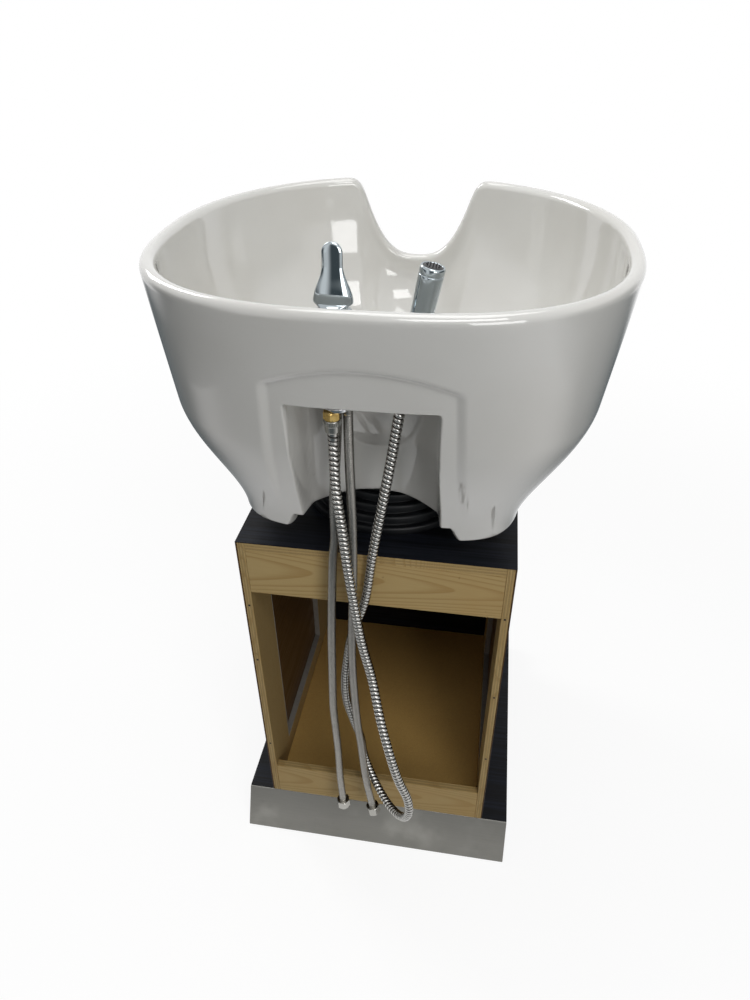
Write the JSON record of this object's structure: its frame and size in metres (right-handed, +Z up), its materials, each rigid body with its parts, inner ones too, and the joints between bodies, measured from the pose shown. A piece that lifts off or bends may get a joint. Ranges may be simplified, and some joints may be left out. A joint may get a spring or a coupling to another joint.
{
  "type": "backwash unit",
  "caption": "Free-standing salon backwash unit: tilting ceramic basin with neck notch, single-lever mixer and hand spray on a ribbed hose, over a black-skinned plywood cabinet and plinth",
  "frame": {"origin": "Centre of the footprint at floor level, the hoses left out", "axes": "+X across towards the hand spray, +Y from the stylist's open side towards the client's neck, +Z up"},
  "size_m": [0.562, 0.5646, 1.0036],
  "materials": {
    "ceramic": "polished",
    "plywood": "satin",
    "black_laminate": "satin",
    "grey_edging": "matte",
    "stainless": "brushed",
    "zinc_steel": "satin",
    "chrome": "polished",
    "brass": "satin",
    "rubber": "matte",
    "black_plastic": "satin",
    "braided_steel": "satin"
  },
  "bodies": {
    "base": {"plinth_top": "black_laminate", "plinth_side_left": "black_laminate", "plinth_side_right": "black_laminate", "plinth_front": "plywood", "plinth_back": "black_laminate", "kick_plate": "stainless", "glide_1": "black_plastic", "glide_2": "black_plastic", "glide_3": "black_plastic", "glide_4": "black_plastic", "side_panel_left": "plywood", "side_panel_right": "plywood", "side_skin_left": "black_laminate", "side_skin_right": "black_laminate", "window_edging_left": "grey_edging", "window_edging_right": "grey_edging", "floor_panel": "plywood", "front_panel": "black_laminate", "top_rail": "plywood", "bottom_rail": "plywood", "top_panel": "plywood", "top_laminate": "black_laminate", "tilt_yoke": "zinc_steel", "tilt_boot": "rubber", "mount_bolt_1": "zinc_steel", "mount_bolt_2": "zinc_steel", "mount_bolt_3": "zinc_steel", "mount_bolt_4": "zinc_steel", "tilt_pin_left": "zinc_steel", "tilt_pin_right": "zinc_steel", "friction_disc_left": "black_plastic", "friction_disc_right": "black_plastic"},
    "basin": {"basin": "ceramic", "tilt_cradle": "zinc_steel", "cradle_pad": "rubber", "waste_outlet": "chrome", "waste_locknut": "black_plastic", "waste_tailpiece": "black_plastic", "mixer_body": "chrome", "mixer_gasket": "rubber", "mixer_clamp_washer": "zinc_steel", "mixer_backnut": "brass", "mixer_cartridge": "black_plastic", "mixer_dome_nut": "chrome", "hose_nipple": "brass", "hose_union_nut": "chrome", "shower_hose": "chrome", "supply_hose_left": "braided_steel", "supply_hose_right": "braided_steel", "supply_nut_left": "chrome", "supply_nut_right": "chrome", "spray_holder": "chrome", "spray_holder_nut": "black_plastic"},
    "mixer_swivel": {"cartridge_carrier": "black_plastic", "stem_pin": "stainless"},
    "mixer_lever": {"mixer_lever": "chrome", "cartridge_stem": "brass"},
    "spray": {"spray_handle": "chrome", "spray_face": "black_plastic", "hose_cone_nut": "chrome"}
  },
  "joints": [
    {"name": "basin_tilt", "type": "hinge", "parent": "base", "child": "basin", "pos_m": [0, -0.032, 0.672], "axis": [1, 0, 0], "range_deg": [-8, 0]},
    {"name": "lever_swivel", "type": "hinge", "parent": "basin", "child": "mixer_swivel", "pos_m": [-0.036, -0.192, 0.9236], "axis": [0, 0, 1], "range_deg": [-45, 45]},
    {"name": "lever_lift", "type": "hinge", "parent": "mixer_swivel", "child": "mixer_lever", "pos_m": [-0.036, -0.192, 0.9236], "axis": [1, 0, 0], "range_deg": [0, 22]},
    {"name": "spray_lift", "type": "slide", "parent": "basin", "child": "spray", "axis": [0.1908, 0, 0.9816], "range_m": [0, 0.08]}
  ]
}
